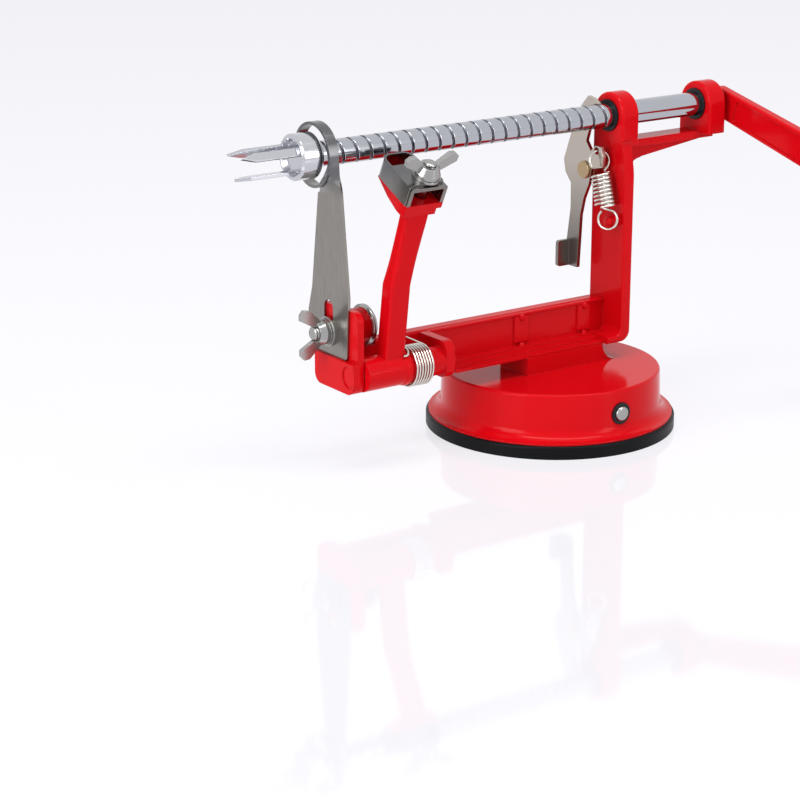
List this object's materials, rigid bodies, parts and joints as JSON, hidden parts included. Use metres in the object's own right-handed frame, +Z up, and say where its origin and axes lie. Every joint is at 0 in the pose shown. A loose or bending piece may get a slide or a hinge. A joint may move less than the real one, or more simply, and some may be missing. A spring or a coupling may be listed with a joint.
{
  "type": "hand-cranked apple peeler",
  "caption": "Hand-cranked apple peeler, slicer and corer: feed screw with fork, sprung peeling arm, coring blade and thread release on a cast frame over a lever suction base.",
  "frame": {"origin": "middle of the suction base on the table", "axes": "+X along the feed screw towards the crank, +Y away from the viewer, +Z up"},
  "size_m": [0.2843, 0.1371, 0.1363],
  "materials": {
    "red_paint": "gloss",
    "chrome_steel": "polished",
    "stainless": "satin",
    "zinc_steel": "satin",
    "spring_steel": "bright",
    "dark_steel": "satin",
    "brass_rivet": "satin",
    "black_rubber": "matt",
    "black_nylon": "matt",
    "grip_plastic": "satin"
  },
  "bodies": {
    "frame": {"suction_pad": "black_rubber", "base_cover": "red_paint", "cam_bushes": "black_nylon", "frame_screws": "zinc_steel", "body_frame": "red_paint", "front_bush": "black_nylon", "rear_bush": "black_nylon", "lever_pivot": "brass_rivet", "peeler_axle": "zinc_steel", "corer_blade": "stainless", "corer_bolt": "zinc_steel", "corer_washers": "zinc_steel", "lever_spring": "spring_steel"},
    "cam": {"cam_shaft": "zinc_steel", "suction_lever": "red_paint"},
    "stud": {"pad_stud": "zinc_steel"},
    "carriage": {"thrust_washer": "dark_steel"},
    "spindle": {"feed_screw": "chrome_steel", "fork": "chrome_steel", "crank_arm": "red_paint", "crank_nut": "chrome_steel", "grip_pin": "zinc_steel"},
    "grip": {"crank_grip": "grip_plastic"},
    "release": {"release_lever": "stainless"},
    "arm": {"peeler_arm": "red_paint", "torsion_spring": "spring_steel", "blade_holder": "stainless", "peeler_blade": "stainless", "holder_stud": "zinc_steel", "holder_washer": "zinc_steel"},
    "arm_nut": {"holder_wing_nut": "zinc_steel"},
    "corer_nut": {"corer_wing_nut": "zinc_steel"}
  },
  "joints": [
    {"name": "suction_lever_turn", "type": "hinge", "parent": "frame", "child": "cam", "pos_m": [0, 0, 0.0147], "axis": [0, -1, 0], "range_deg": [0, 90]},
    {"name": "stud_lift", "type": "slide", "parent": "frame", "child": "stud", "axis": [0, 0, -1], "range_m": [0, 0.0018]},
    {"name": "feed", "type": "slide", "parent": "frame", "child": "carriage", "axis": [1, 0, 0], "range_m": [0, 0.115]},
    {"name": "crank_turn", "type": "hinge", "parent": "carriage", "child": "spindle", "pos_m": [0, 0, 0.124], "axis": [1, 0, 0], "continuous": true},
    {"name": "grip_spin", "type": "hinge", "parent": "spindle", "child": "grip", "pos_m": [0.1, -0.06986, 0.10658], "axis": [1, 0, 0], "continuous": true},
    {"name": "thread_release", "type": "hinge", "parent": "frame", "child": "release", "pos_m": [0.022, 0.0068, 0.1013], "axis": [-1, 0, 0], "range_deg": [0, 10], "stiffness_Nm_per_rad": 0.15, "springref_deg": -11.46, "deforming": ["lever_spring"]},
    {"name": "peeler_swing", "type": "hinge", "parent": "frame", "child": "arm", "pos_m": [0, -0.0125, 0.04], "axis": [1, 0, 0], "range_deg": [0, 60], "stiffness_Nm_per_rad": 0.12, "springref_deg": -22.92, "deforming": ["torsion_spring"]},
    {"name": "arm_nut_turn", "type": "hinge", "parent": "arm", "child": "arm_nut", "pos_m": [-0.0804, -0.02492, 0.11678], "axis": [0, -0.4384, 0.8988], "continuous": true},
    {"name": "corer_nut_turn", "type": "hinge", "parent": "frame", "child": "corer_nut", "pos_m": [-0.1105, 0.0026, 0.0547], "axis": [-1, 0, 0], "continuous": true}
  ],
  "couplings": [
    {"joint": "stud_lift", "follows": "suction_lever_turn", "m_per_rad": 0.0010804},
    {"joint": "crank_turn", "follows": "feed", "rad_per_m": 997.33}
  ]
}
